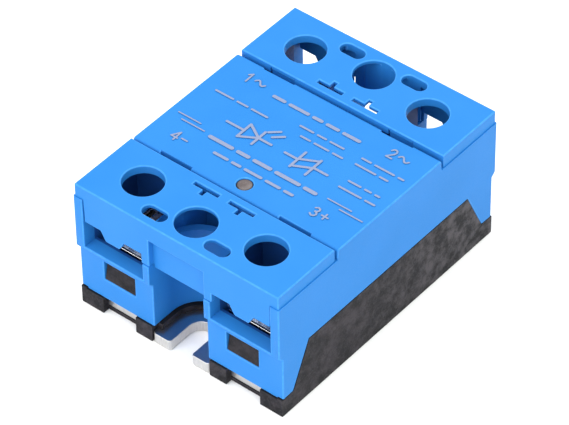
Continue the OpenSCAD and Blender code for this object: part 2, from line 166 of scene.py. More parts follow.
def edge_rub_and_painted_light(tree, colour, edge_tone, amount):
    """Blends colour towards an edge tone on rounded edges, which the pieces mark with an
    attribute.
    """
    # Edge tones: lighter ones are partly rubbed edges and partly painted highlight, the tinted
    # window's dark one is painted shade, and the board's is its bare glass.
    edge = add(tree, "ShaderNodeAttribute", attribute_name="edge").outputs["Fac"]
    patchy = add(tree, "ShaderNodeMath", operation="MULTIPLY")
    tree.links.new(edge, patchy.inputs[0])
    tree.links.new(spread(tree, noise(tree, 900, 3, 0.6), 0.4 * amount, amount), patchy.inputs[1])
    return blend_colours(tree, patchy.outputs[0], colour, edge_tone)


# ---------------------------------------------------------------- materials

def chamber_shade_mask(tree):
    """1 in the four terminal chambers, 0 elsewhere, for the painted shade there; three of them
    mirror the plus terminal's.
    """
    low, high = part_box("plus_screw")
    middle = (low + high) / 2
    roof = CAD_BOX[1].z - 1.7 * MM    # just under the covers' tops
    place = position(tree)
    found = None
    for axis, centre, half in (("X", abs(middle.x) + 0.5 * MM, 6.6 * MM),
                               ("Y", abs(middle.y) - 0.6 * MM, 5.8 * MM),
                               ("Z", roof - 7 * MM, 7 * MM)):
        size = add(tree, "ShaderNodeMath", operation="ABSOLUTE")
        tree.links.new(place.outputs[axis], size.inputs[0])
        near = add(tree, "ShaderNodeMath", {1: centre, 2: half}, operation="COMPARE")
        tree.links.new(size.outputs[0], near.inputs[0])
        if found:
            both = add(tree, "ShaderNodeMath", operation="MULTIPLY")
            tree.links.new(found, both.inputs[0])
            tree.links.new(near.outputs[0], both.inputs[1])
            found = both.outputs[0]
        else:
            found = near.outputs[0]
    return found


def blue_plastic():
    """Moulded polyamide: even blue, with painted shade in the chambers and painted highlights on
    the edges.
    """
    material, tree, bsdf = shader("blue_plastic", specular=0.12)
    body = blend_colours(tree, spread(tree, noise(tree, 90, 2), 0, 1),
                         (0.019, 0.178, 0.520), (0.023, 0.190, 0.555))
    # Painted shade: the blue darkens inside the terminal chambers.
    body = blend_colours(tree, chamber_shade_mask(tree), body, (0.012, 0.072, 0.27))
    # Painted highlight: the rounded edges blend towards a lighter blue.
    tree.links.new(edge_rub_and_painted_light(tree, body, (0.075, 0.32, 0.80), 0.6), bsdf.inputs["Base Color"])
    grain = noise(tree, 5200, 2, 0.6)
    tree.links.new(spread(tree, grain, 0.40, 0.52), bsdf.inputs["Roughness"])
    bump(tree, bsdf, grain, 0.25, 0.02 * MM)
    bump(tree, bsdf, noise(tree, 260, 2), 0.12, 0.1 * MM)
    return material


def black_plastic():
    """Mineral-filled black plastic: cloudy flow marks, pale specks, painted shade where it faces
    up.
    """
    material, tree, bsdf = shader("black_plastic", specular=0.10)
    flow = noise(tree, 330, 6, 0.74)
    speck = noise(tree, 2600, 3, 0.75)
    # Painted light: the black runs from darker at the front to lighter at the rear.
    along = spread(tree, position(tree).outputs["Y"], 0, 1, -10 * MM, CAD_BOX[1].y)
    pale = blend_colours(tree, along, (0.042, 0.036, 0.043), (0.088, 0.080, 0.090))
    body = blend_colours(tree, spread(tree, flow, 0, 1, 0.40, 0.62), (0.008, 0.0076, 0.010), pale)
    body = blend_colours(tree, spread(tree, speck, 0, 0.5, 0.52, 0.8), body, (0.07, 0.069, 0.074))
    # Painted shade: faces that look up are darkened.
    upward_shade = spread(tree, facing_up(tree), 0, 0.8, 0.1, 0.3)
    body = blend_colours(tree, upward_shade, body, (0.008, 0.009, 0.011))
    # Rounded edges go lighter, partly as rubbed edges and partly as painted highlight.
    tree.links.new(edge_rub_and_painted_light(tree, body, (0.05, 0.05, 0.053), 0.35), bsdf.inputs["Base Color"])
    tree.links.new(spread(tree, flow, 0.50, 0.62), bsdf.inputs["Roughness"])
    bump(tree, bsdf, speck, 0.3, 0.03 * MM)
    return material


def aluminium():
    """Rolled plate: smooth faces, and sheared edges with faint upright lines."""
    material, tree, bsdf = shader("aluminium", metallic=1)
    lines = noise(tree, 700, 3, 0.6, coordinates(tree, (12, 12, 1)))
    rolled = spread(tree, facing_up(tree), 0, 1, 0.6, 0.95)
    sheared = blend_colours(tree, spread(tree, lines, 0, 1),
                            (0.50, 0.49, 0.48), (0.66, 0.645, 0.635))
    body = blend_colours(tree, rolled, sheared, (0.54, 0.535, 0.53))
    # Rounded edges go lighter, partly as rubbed edges and partly as painted highlight.
    tree.links.new(edge_rub_and_painted_light(tree, body, (0.62, 0.61, 0.59), 0.5), bsdf.inputs["Base Color"])
    tree.links.new(spread(tree, rolled, 0.42, 0.29, 0, 1), bsdf.inputs["Roughness"])
    bump(tree, bsdf, lines, 0.05, 0.01 * MM)
    return material


def metal(name, first, second, edge_tone, rough, grain=900, stretch=(1, 1, 1), streaks=(0.3, 0.3, 0.3),
          middle=0.5):
    """A plated or rolled metal with drifting colour, stretched grain and brighter edges, partly
    rubbed and partly painted highlight.
    """
    material, tree, bsdf = shader(name, metallic=1)
    # On the two tins the streaked drift paints glints; on the other metals it is their own uneven
    # tone.
    drift_and_glints = noise(tree, 870, 4, 0.6, coordinates(tree, streaks))
    body = blend_colours(tree, spread(tree, drift_and_glints, 0, 1, middle - 0.12, middle + 0.12),
                         first, second)
    tree.links.new(edge_rub_and_painted_light(tree, body, edge_tone, 0.7), bsdf.inputs["Base Color"])
    lines = noise(tree, grain, 3, 0.6, coordinates(tree, stretch))
    tree.links.new(spread(tree, lines, rough - 0.07, rough + 0.07), bsdf.inputs["Roughness"])
    bump(tree, bsdf, lines, 0.2, 0.02 * MM)
    return material


def resin(name, first, second, edge_tone, rough, patch=300, grain=2600, strength=0.2):
    """A moulded, dipped or fired surface with cloudy colour, fine grain and lighter edges, partly
    rubbed and partly painted highlight.
    """
    material, tree, bsdf = shader(name, specular=0.4)
    body = blend_colours(tree, spread(tree, noise(tree, patch, 3), 0, 1), first, second)
    tree.links.new(edge_rub_and_painted_light(tree, body, edge_tone, 0.5), bsdf.inputs["Base Color"])
    fine = noise(tree, grain, 3, 0.6)
    tree.links.new(spread(tree, fine, rough - 0.06, rough + 0.06), bsdf.inputs["Roughness"])
    bump(tree, bsdf, fine, strength, 0.03 * MM)
    return material


def tinted_window():
    """Smoke-brown clear plastic over the status light, with painted shade darkening its rounded
    rim.
    """
    material, tree, bsdf = shader("tinted_window", specular=0.5)
    body = blend_colours(tree, spread(tree, noise(tree, 700, 2), 0, 1),
                         (0.075, 0.058, 0.058), (0.105, 0.083, 0.083))
    tree.links.new(edge_rub_and_painted_light(tree, body, (0.012, 0.010, 0.012), 1.4), bsdf.inputs["Base Color"])
    tree.links.new(spread(tree, noise(tree, 2400, 2), 0.22, 0.34), bsdf.inputs["Roughness"])
    bump(tree, bsdf, noise(tree, 1100, 2), 0.1, 0.03 * MM)
    bsdf.inputs["Coat Weight"].default_value = 0.3
    bsdf.inputs["Coat Roughness"].default_value = 0.12
    return material


def green_board():
    """Solder mask over a woven glass board, with the faint weave showing through."""
    material, tree, bsdf = shader("green_board", specular=0.45)
    weave = add(tree, "ShaderNodeTexWave", {"Scale": 480, "Distortion": 0.6, "Detail": 1.0},
                bands_direction="DIAGONAL")
    tree.links.new(coordinates(tree), weave.inputs["Vector"])
    body = blend_colours(tree, spread(tree, noise(tree, 240, 3), 0, 1),
                         (0.012, 0.125, 0.045), (0.020, 0.165, 0.062))
    woven = blend_colours(tree, spread(tree, weave.outputs["Fac"], 0, 0.25, 0, 1), body,
                          (0.035, 0.22, 0.09))
    tree.links.new(edge_rub_and_painted_light(tree, woven, (0.42, 0.40, 0.22), 0.6), bsdf.inputs["Base Color"])
    tree.links.new(spread(tree, noise(tree, 1500, 2), 0.26, 0.38), bsdf.inputs["Roughness"])
    bump(tree, bsdf, weave.outputs["Fac"], 0.08, 0.02 * MM)
    return material


def clear_gel():
    """Soft silicone: cloudy, wet-looking and almost colourless."""
    material, tree, bsdf = shader("clear_gel", specular=0.5)
    body = blend_colours(tree, spread(tree, noise(tree, 180, 3), 0, 1),
                         (0.72, 0.76, 0.70), (0.84, 0.87, 0.82))
    tree.links.new(body, bsdf.inputs["Base Color"])
    tree.links.new(spread(tree, noise(tree, 500, 2), 0.08, 0.18), bsdf.inputs["Roughness"])
    bump(tree, bsdf, noise(tree, 150, 2), 0.25, 0.2 * MM)
    bsdf.inputs["Transmission Weight"].default_value = 0.55
    bsdf.inputs["IOR"].default_value = 1.41
    return material


def print_ink():
    """Pad-printed lilac-grey ink, a little uneven where the pad lifted."""
    material, tree, bsdf = shader("print_ink", specular=0.3)
    thin = spread(tree, noise(tree, 2200, 3, 0.7), 0, 1, 0.45, 0.8)
    tree.links.new(blend_colours(tree, thin, (0.215, 0.245, 0.36), (0.13, 0.22, 0.42)),
                   bsdf.inputs["Base Color"])
    tree.links.new(spread(tree, noise(tree, 3000, 2), 0.5, 0.65), bsdf.inputs["Roughness"])
    bump(tree, bsdf, noise(tree, 4000, 2), 0.2, 0.01 * MM)
    return material


MATERIALS = {
    "blue_plastic": blue_plastic(),
    "black_plastic": black_plastic(),
    "aluminium": aluminium(),
    "tinted_window": tinted_window(),
    "led_red": resin("led_red", (0.72, 0.05, 0.03), (0.85, 0.10, 0.06), (0.9, 0.3, 0.2), 0.16),
    "copper": metal("copper", (0.62, 0.30, 0.17), (0.76, 0.42, 0.26), (0.9, 0.58, 0.42), 0.30,
                    stretch=(8, 1, 1)),
    "ceramic": resin("ceramic", (0.80, 0.79, 0.75), (0.88, 0.87, 0.84), (0.92, 0.92, 0.9), 0.5,
                     grain=5200, strength=0.35),
    "silicon": metal("silicon", (0.13, 0.14, 0.18), (0.19, 0.20, 0.26), (0.35, 0.36, 0.42), 0.18,
                     grain=1800),
    # Tinned copper whose bright streaks are painted glints.
    "tinned_copper": metal("tinned_copper", (0.30, 0.31, 0.34), (0.62, 0.62, 0.63),
                           (0.88, 0.88, 0.88), 0.15, grain=700, stretch=(1, 9, 1),
                           streaks=(0.35, 0.6, 3.2)),
    "zinc_steel": metal("zinc_steel", (0.27, 0.28, 0.31), (0.48, 0.48, 0.49), (0.66, 0.66, 0.67),
                        0.28, grain=1300),
    "green_board": green_board(),
    "black_epoxy": resin("black_epoxy", (0.016, 0.016, 0.018), (0.028, 0.028, 0.03),
                         (0.07, 0.07, 0.075), 0.48, grain=4200, strength=0.4),
    "film_capacitor": resin("film_capacitor", (0.62, 0.40, 0.06), (0.72, 0.50, 0.09),
                            (0.85, 0.68, 0.25), 0.35),
    "blue_epoxy": resin("blue_epoxy", (0.02, 0.05, 0.26), (0.035, 0.08, 0.36), (0.1, 0.2, 0.5),
                        0.22, patch=500),
    "clear_gel": clear_gel(),
}
INK = print_ink()
# Bluish tin whose bright streaks across the lips are painted glints
CLAMP_TIN = metal("clamp_tin", (0.10, 0.15, 0.25), (0.62, 0.68, 0.78), (0.22, 0.26, 0.33), 0.24,
                  grain=700, stretch=(1, 9, 1), streaks=(1.3, 0.9, 1.6), middle=0.52)

for node_name in NODES:
    mesh = NODES[node_name].data
    mesh.materials.clear()
    mesh.materials.append(MATERIALS[SLOT_OF[node_name]])


# ---------------------------------------------------------------- mesh helpers, in millimetres

def new_shape():
    """An empty bmesh whose faces can be marked as rounded edges, for the materials' edge tones."""
    bm = bmesh.new()
    bm.faces.layers.float.new("edge")
    return bm


def cad_shape(node):
    """The CAD node's shape, with its flat faces joined up."""
    bm = new_shape()
    bm.from_mesh(NODES[node].data)
    bmesh.ops.scale(bm, vec=(1 / MM,) * 3, verts=bm.verts)
    bmesh.ops.remove_doubles(bm, verts=bm.verts, dist=0.002)
    bmesh.ops.dissolve_limit(bm, angle_limit=math.radians(0.6), verts=bm.verts, edges=bm.edges)
    bm.normal_update()
    return bm


def soften(bm, radius, wanted=lambda middle: True, segments=2):
    """Rounds the convex edges whose middle point is wanted."""
    least = math.radians(27)
    edges = [e for e in bm.edges
             if e.is_convex and e.calc_face_angle(0) > least
             and wanted((e.verts[0].co + e.verts[1].co) / 2)]
    made = bmesh.ops.bevel(bm, geom=edges, offset=radius, segments=segments, profile=0.5,
                           affect="EDGES", clamp_overlap=False)
    layer = bm.faces.layers.float["edge"]
    for face in made["faces"]:
        face[layer] = 1.0


def join(bm, part):
    """Adds one bmesh to another and frees it."""
    spare = bpy.data.meshes.new("spare")
    part.to_mesh(spare)
    part.free()
    bm.from_mesh(spare)
    bpy.data.meshes.remove(spare)


def add_block(bm, low, high, radius=0.0, segments=2):
    """Adds a box with rounded edges."""
    part = new_shape()
    bmesh.ops.create_cube(part, size=1)
    for vert in part.verts:
        for i in range(3):
            vert.co[i] = (low[i] + high[i]) / 2 + vert.co[i] * (high[i] - low[i])
    if radius:
        soften(part, radius, segments=segments)
    join(bm, part)


def add_turned(bm, profile, x=0.0, y=0.0, steps=40, radius_at=None):
    """Adds a solid of revolution; profile is (radius, z) from the bottom to the top."""
    part = new_shape()
    rings = []
    for radius, z in profile:
        ring = []
        for i in range(steps):
            angle = 2 * math.pi * i / steps
            r = radius_at(radius, z, angle) if radius_at else radius
            ring.append(part.verts.new((x + r * math.cos(angle), y + r * math.sin(angle), z)))
        rings.append(ring)
    for below, above in zip(rings, rings[1:]):
        for i in range(steps):
            j = (i + 1) % steps
            part.faces.new((below[i], below[j], above[j], above[i]))
    part.faces.new(rings[-1])
    part.faces.new(list(reversed(rings[0])))
    join(bm, part)


def add_strip(bm, points, width, z, thickness=0.012):
    """Adds a flat printed or plated line with round joints along points in the X-Y plane."""
    half = width / 2
    for count, ((x0, y0), (x1, y1)) in enumerate(zip(points, points[1:])):
        angle = math.atan2(y1 - y0, x1 - x0)
        lift = 0.0015 * (count % 4)       # keeps overlapping tops from lying in one plane
        outline = []
        for cx, cy, first in ((x1, y1, -90), (x0, y0, 90)):
            for step in range(7):
                turn = angle + math.radians(first + 30 * step)
                outline.append((cx + half * math.cos(turn), cy + half * math.sin(turn)))
        part = new_shape()
        top = [part.verts.new((px, py, z + thickness + lift)) for px, py in outline]
        low = [part.verts.new((px, py, z)) for px, py in outline]
        part.faces.new(top)
        part.faces.new(list(reversed(low)))
        for i in range(len(outline)):
            j = (i + 1) % len(outline)
            part.faces.new((low[i], low[j], top[j], top[i]))
        join(bm, part)


def shade(mesh, sharp):
    """Normals by corner: the faces there that lean less than sharp degrees away, by area."""
    layer = mesh.attributes["edge"].data
    around = [[] for _ in mesh.vertices]
    for face in mesh.polygons:
        weight = face.area * (0.02 if layer[face.index].value > 0.5 else 1)
        for corner in face.vertices:
            around[corner].append((face.normal.copy(), weight))
    least = math.cos(math.radians(sharp))
    normals = [Vector((0, 0, 1))] * len(mesh.loops)
    for face in mesh.polygons:
        for loop, corner in zip(face.loop_indices, face.vertices):
            total = Vector()
            for normal, weight in around[corner]:
                if normal.dot(face.normal) > least:
                    total += normal * weight
            normals[loop] = total.normalized() if total.length else face.normal.copy()
    mesh.normals_split_custom_set(normals)


def piece(name, bm, node, material=None, slot=None, stands_for=True, sharp=50):
    """Turns a shape into an object that rides with a CAD node and, by default, stands for it."""
    bmesh.ops.scale(bm, vec=(MM,) * 3, verts=bm.verts)
    for face in bm.faces:
        face.smooth = True
    made_mesh = bpy.data.meshes.new(name)
    bm.to_mesh(made_mesh)
    bm.free()
    made_mesh.materials.append(material or MATERIALS[slot or SLOT_OF[node]])
    shade(made_mesh, sharp)
    made = bpy.data.objects.new(name, made_mesh)
    bpy.context.scene.collection.objects.link(made)
    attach(made, BODY_OF[node])
    if stands_for:
        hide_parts(node)
    return made


def drill(target, cutter_shape):
    """Cuts a closed shape out of an object's mesh."""
    bmesh.ops.scale(cutter_shape, vec=(MM,) * 3, verts=cutter_shape.verts)
    mesh = bpy.data.meshes.new("cutter")
    cutter_shape.to_mesh(mesh)
    cutter_shape.free()
    cutter = bpy.data.objects.new("cutter", mesh)
    bpy.context.scene.collection.objects.link(cutter)
    modifier = target.modifiers.new("drill", "BOOLEAN")
    modifier.operation = "DIFFERENCE"
    modifier.solver = "EXACT"
    modifier.object = cutter
    bpy.context.view_layer.update()
    graph = bpy.context.evaluated_depsgraph_get()
    drilled = bpy.data.meshes.new_from_object(target.evaluated_get(graph), depsgraph=graph)
    shade(drilled, 50)
    target.modifiers.clear()
    old = target.data
    target.data = drilled
    bpy.data.meshes.remove(old)
    bpy.data.objects.remove(cutter)
    bpy.data.meshes.remove(mesh)


# ---------------------------------------------------------------- mouldings and plate

TOP_Z = CAD_BOX[1].z / MM
END_Y = CAD_BOX[1].y / MM
SEAM_Z = TOP_Z - 2.7    # where the covers sit on the housing


def moulded(node, radius, tight):
    """The CAD shape with its outer edges rounded, except where tight says there is no room.

    tight is asked about an edge's middle, mirrored to where X and Y are positive. A cover's rim is
    let down on its seat, as if the cover were pressed home."""
    low, high = box_mm(node)
    skin = 1.25             # an edge nearer than this to the outside is an outer one
    rim_drop = 0.07

    def outer(middle):
        near = any(middle[i] - low[i] < skin or high[i] - middle[i] < skin for i in range(3))
        return near and not tight(Vector((abs(middle.x), abs(middle.y), middle.z)))

    bm = cad_shape(node)
    if node.endswith("cover"):
        for vert in bm.verts:
            if SEAM_Z + 0.02 < vert.co.z < SEAM_Z + 0.2:
                vert.co.z -= rim_drop
    soften(bm, radius, outer)
    piece(node + "_moulded", bm, node)


def at_seam(at):
    """Along the seam, whose edges stay crisp so that it stays thin."""
    return SEAM_Z - 0.1 < at.z < SEAM_Z + 0.2


def housing_tight(at):
    """The seam, and the shallow step under the wire ledges."""
    return at_seam(at) or (at.y > END_Y - 0.7 and 14 < at.z < 14.2)


def cover_tight(at):
    """The seam, the thin hinge sockets, and the narrow strips beside the recessed end panel."""
    sockets = at.z < TOP_Z - 0.2 and at.y < 15.9
    strips = 5.4 < at.x < 6.4 and at.z < 18.7
    return at_seam(at) or sockets or strips


def frame_tight(at):
    """The latches and the flange, which the housing hides."""
    return at.y < END_Y - 1.5 and at.z > 8


moulded("housing", 0.22, housing_tight)
moulded("front_cover", 0.22, cover_tight)
moulded("rear_cover", 0.22, cover_tight)
moulded("base_frame", 0.12, frame_tight)


def plate():
    """Sheared plate: rounded where the die entered, crisp where it left."""
    bm = cad_shape("base_plate")
    low, high = box_mm("base_plate")
    soften(bm, 0.42, lambda middle: middle.z < low.z + 0.01, 3)
    soften(bm, 0.1, lambda middle: middle.z > high.z - 0.01)
    piece("base_plate_sheared", bm, "base_plate")


plate()


# ---------------------------------------------------------------- terminals

def clamp_plate(name):
    """Clamp plate: ribbed front and rear lips, and a toothed grip underneath."""
    node = name + "_clamp"
    low, high = box_mm(node)
    middle = (low + high) / 2
    reach = high.y - middle.y - 0.35      # the lips stand a little inside the plain shape
    lip_z = low.z + 0.72                  # their lower edges
    ribs = 2
    rise = (high.z - 0.25 - lip_z) / ribs
    side = [(reach - 0.35, lip_z)]
    for i in range(ribs):
        side += [(reach, lip_z + (i + 0.25) * rise), (reach, lip_z + (i + 0.6) * rise),
                 (reach - 0.28, lip_z + (i + 0.98) * rise)]
    side += [(reach - 0.55, high.z)]
    teeth = 8
    grip = reach - 0.9
    under = []
    for i in range(teeth):
        y0 = -grip + 2 * grip * i / teeth
        under += [(y0, low.z + 0.3), (y0 + grip / teeth, low.z)]
    under += [(grip, low.z + 0.3), (grip, lip_z)]
    outline = ([(-y, z) for y, z in reversed(side)] + [(-grip, lip_z)] + under + side)
    bm = new_shape()
    ends = [[bm.verts.new((x, middle.y + y, z)) for y, z in outline]
            for x in (low.x, high.x)]
    bm.faces.new(list(reversed(ends[0])))
    bm.faces.new(ends[1])
    for i in range(len(outline)):
        j = (i + 1) % len(outline)
        bm.faces.new((ends[0][i], ends[0][j], ends[1][j], ends[1][i]))
    bmesh.ops.recalc_face_normals(bm, faces=bm.faces)
    soften(bm, 0.06, segments=1)
    made = piece(node + "_ribbed", bm, node, material=CLAMP_TIN, sharp=30)
    bore = THREAD_RADIUS[name] + THREAD_PLAY
    bore_cutter = new_shape()
    screw_low, screw_high = box_mm(name + "_screw")
    add_turned(bore_cutter, [(bore, low.z - 1), (bore, high.z + 1)],
               (screw_low.x + screw_high.x) / 2, middle.y, 48)
    drill(made, bore_cutter)


def terminal_screw(name):
    """Pan head from the CAD shape, over a rolled thread."""
    node = name + "_screw"
    low, high = box_mm(node)
    x, y = (low.x + high.x) / 2, (low.y + high.y) / 2
    thread = THREAD_RADIUS[name]
    head_z = box_mm(name + "_clamp")[1].z + 0.05
    pitch = THREAD_PITCH[name]
    groove = 0.58 * pitch                 # the thread's depth
    row = pitch / 8
    bm = cad_shape(node)
    shank = [v for v in bm.verts if v.co.z < head_z + 0.01
             and math.hypot(v.co.x - x, v.co.y - y) < thread + 0.1]
    bmesh.ops.delete(bm, geom=shank, context="VERTS")
    bmesh.ops.holes_fill(bm, edges=[e for e in bm.edges if e.is_boundary], sides=0)
    bm.normal_update()
    soften(bm, 0.13)

    def ridge(radius, z, angle):
        phase = (z / pitch - angle / (2 * math.pi)) % 1
        rise = groove * (1 - min(1, abs(phase - 0.5) * 2.6))
        point = min(radius, thread - 0.62 * pitch + 0.8 * (z - low.z))
        return min(point, thread - groove + rise)

    rows = int((head_z + 0.3 - low.z) / row)
    add_turned(bm, [(thread, low.z + i * row) for i in range(rows + 1)], x, y, 40, ridge)
    piece(node + "_threaded", bm, node, sharp=35)


def terminal_bar(name):
    """Stamped bar with its edges broken."""
    bm = cad_shape(name + "_terminal")
    soften(bm, 0.15)
    piece(name + "_terminal_stamped", bm, name + "_terminal")


for terminal in TERMINALS:
    clamp_plate(terminal)
    terminal_screw(terminal)
    terminal_bar(terminal)

nuts = cad_shape("terminal_nuts")
soften(nuts, 0.3, segments=1)
piece("terminal_nuts_chamfered", nuts, "terminal_nuts")


# ---------------------------------------------------------------- status light

def status_window():
    """Light pipe with a slightly domed face and a broken rim."""
    low, high = box_mm("led_window")
    x, y = (low.x + high.x) / 2, (low.y + high.y) / 2
    collar = (high.x - low.x) / 2
    pipe = collar - 0.2
    step_z = low.z + 3.4                  # top of the collar
    rim_z = high.z - 0.25                 # where the rim starts to round off
    rim = [(pipe - 0.22 * (1 - math.cos(math.radians(a))),
            rim_z + 0.16 * math.sin(math.radians(a))) for a in (30, 60, 90)]
    bm = new_shape()
    add_turned(bm, [(collar - 0.15, low.z), (collar, low.z + 0.15), (collar, step_z - 0.1),
                    (collar - 0.1, step_z), (pipe, step_z), (pipe, rim_z)]
               + rim + [(pipe * 0.6, high.z - 0.04), (pipe * 0.25, high.z - 0.01)], x, y, 56)
    # Marks the rounded rim, which the window's material paints dark as shade.
    layer = bm.faces.layers.float["edge"]
    for face in bm.faces:
        middle = face.calc_center_median()
        if high.z - 0.3 < middle.z < high.z - 0.07:
            face[layer] = 1.0
    piece("led_window_domed", bm, "led_window", sharp=60)


def status_light():
    """Chip LED: pale package, metal ends and a red lens."""
    low, high = box_mm("status_led")
    bm = new_shape()
    dome = high.z - 0.4
    add_block(bm, (low.x + 0.25, low.y, dome - 0.05), (high.x - 0.25, high.y, high.z), 0.12, 3)
    piece("status_led_lens", bm, "status_led")
    package = new_shape()
    add_block(package, (low.x + 0.2, low.y, low.z), (high.x - 0.2, high.y, dome), 0.03)
    piece("status_led_package", package, "status_led", slot="ceramic", stands_for=False)
    ends = new_shape()
    for x0, x1 in ((low.x, low.x + 0.22), (high.x - 0.22, high.x)):
        add_block(ends, (x0, low.y, low.z), (x1, high.y, dome - 0.1), 0.04)
    piece("status_led_ends", ends, "status_led", slot="tinned_copper", stands_for=False)


status_window()
status_light()


# ---------------------------------------------------------------- power stage

for name, radius in (("base_copper", 0.08), ("copper_tracks", 0.08), ("bridge_straps", 0.12),
                     ("ceramic_substrate", 0.06), ("silicone_gel", 0.1)):
    shape = cad_shape(name)
    soften(shape, radius)
    piece(name + "_finished", shape, name)


def thyristor(name):
    """Die with a bevelled rim, its metallised face and the gate pad in one corner."""
    low, high = box_mm(name)
    bm = cad_shape(name)
    soften(bm, 0.06)
    piece(name + "_die", bm, name)
    pads = new_shape()
    pad_z = high.z + 0.02
    pad_edge = 0.008
    add_block(pads, (low.x + 0.5, low.y + 0.5, high.z),
              (high.x - 0.5, high.y - 1.9, pad_z), pad_edge)
    add_block(pads, (high.x - 2.0, high.y - 1.5, high.z),
              (high.x - 0.6, high.y - 0.5, pad_z), pad_edge)
    piece(name + "_pads", pads, name, slot="tinned_copper", stands_for=False)


def gate_pins():
    """Round pins with a foot, a collar and a rounded tip."""
    low, high = box_mm("gate_pins")
    board_z = box_mm("control_board")[0].z
    radius = PIN_RADIUS
    pins = new_shape()
    for x, y in ((low.x + radius, high.y - radius), (high.x - radius, low.y + radius)):
        add_turned(pins, [(radius, low.z), (radius, low.z + 0.3), (radius * 0.8, low.z + 0.6),
                          (radius * 0.8, board_z - 0.9), (radius, board_z - 0.7),
                          (radius, high.z - 0.15), (radius * 0.85, high.z - 0.04),
                          (radius * 0.6, high.z)], x, y, 24)
    piece("gate_pins_turned", pins, "gate_pins")


thyristor("thyristor_line")
thyristor("thyristor_load")
gate_pins()


# ---------------------------------------------------------------- control board

def board():
    """Board with broken edges, plated lines between the chips and solder round the pins."""
    bm = cad_shape("control_board")
    soften(bm, 0.12)
    piece("control_board_masked", bm, "control_board")
    top = box_mm("control_board")[1].z
    lines = new_shape()
    routes = (
        [(-13.4, -9.6), (-10.6, -9.6), (-9, -8), (-9, -7.6)],
        [(13.4, -9.6), (10.2, -9.6), (9, -10.6), (5.6, -10.6)],
        [(-7.2, -6.7), (-4.4, -6.7), (-2.5, -4.8)],
        [(5.7, -5.4), (3.6, -5.4), (2.5, -4.6)],
        [(7.3, -5.2), (7.3, -4.6), (4.6, -1.9)],
        [(-2.5, 5.2), (-2.5, 6.6), (-6.6, 6.6), (-7.3, 5.9)],
        [(2.5, 5.2), (2.5, 7.4), (4.1, 9), (10.6, 9)],
        [(-8.5, 2.8), (-8.5, 4.6)],
        [(8.5, -3.6), (8.5, 1.4), (10.4, 3.3)],
        [(-11, -1), (-14.4, -1), (-16.6, 1.2), (-16.6, 8)],
    )
    line_width, line_height = 0.55, 0.03
    pad_radius, pad_height = 0.45, 0.035
    for route in routes:
        add_strip(lines, route, line_width, top, line_height)
        for end in (route[0], route[-1]):
            add_turned(lines, [(pad_radius, top), (pad_radius, top + pad_height)], *end, 20)
    piece("board_lines", lines, "control_board", stands_for=False)
    solder = new_shape()
    low, high = box_mm("gate_pins")
    spots = [(low.x + PIN_RADIUS, high.y - PIN_RADIUS), (high.x - PIN_RADIUS, low.y + PIN_RADIUS)]
    control_pin_y = -9.6
    for screw in ("plus_screw", "minus_screw"):
        low, high = box_mm(screw)
        spots.append(((low.x + high.x) / 2, control_pin_y))
    for x, y in spots:
        add_turned(solder, [(1.25, top + 0.01), (1.2, top + 0.06), (0.95, top + 0.22),
                            (0.76, top + 0.45), (0.66, top + 0.7)], x, y, 28)
    piece("board_solder", solder, "control_board", slot="tinned_copper", stands_for=False)


def chips():
    """Moulded packages with a first-pin dimple, and the resistors' metal ends."""
    trigger = cad_shape("trigger_chip")
    low, high = box_mm("trigger_chip")
    soften(trigger, 0.14)
    trigger_piece = piece("trigger_chip_package", trigger, "trigger_chip")
    dimple = new_shape()
    dimple_x, dimple_y = low.x + 0.95, -2.1
    add_turned(dimple, [(0.42, high.z - 0.12), (0.5, high.z + 0.2)], dimple_x, dimple_y, 28)
    drill(trigger_piece, dimple)
    regulator = cad_shape("input_regulator")
    soften(regulator, 0.1)
    piece("input_regulator_package", regulator, "input_regulator")
    resistors = cad_shape("board_resistors")
    soften(resistors, 0.08)
    piece("board_resistors_bodies", resistors, "board_resistors")
    low, high = box_mm("board_resistors")
    near_edges = (-7.5, -4.5, -1.5, 5)    # of the four resistors
    width, cap, over = 1.6, 0.5, 0.03     # over is how far the ends stand out
    ends = new_shape()
    for y in near_edges:
        for x0, x1 in ((low.x - over, low.x + cap), (high.x - cap, high.x + over)):
            add_block(ends, (x0, y - over, low.z), (x1, y + width + over, high.z + over), 0.07)
    piece("board_resistors_ends", ends, "board_resistors", slot="tinned_copper", stands_for=False)


def capacitor():
    """Film capacitor: a box with soft corners standing on two leads."""
    low, high = box_mm("snubber_capacitor")
    bm = new_shape()
    add_block(bm, (low.x, low.y, low.z + 0.3), tuple(high), 0.7, 3)
    for y in (low.y + 1.2, high.y - 1.2):
        add_block(bm, (low.x + 0.4, y - 0.9, low.z), (high.x - 0.4, y + 0.9, low.z + 0.5), 0.1)
    piece("snubber_capacitor_box", bm, "snubber_capacitor")


def varistor():
    """Dipped disc, thicker in the middle."""
    low, high = box_mm("surge_absorber")
    x, y = (low.x + high.x) / 2, (low.y + high.y) / 2
    radius = (high.x - low.x) / 2
    middle = (low.z + high.z) / 2
    half = (high.z - low.z) / 2
    profile = []
    for step in range(15):
        angle = math.radians(-84 + 12 * step)
        wide = max(0.05, math.cos(angle)) ** 0.35
        profile.append((radius * wide, middle + half * math.sin(angle)))
    bm = new_shape()
    add_turned(bm, profile, x, y, 48)
    piece("surge_absorber_disc", bm, "surge_absorber", sharp=60)


board()
chips()
capacitor()
varistor()


# ---------------------------------------------------------------- printed marks

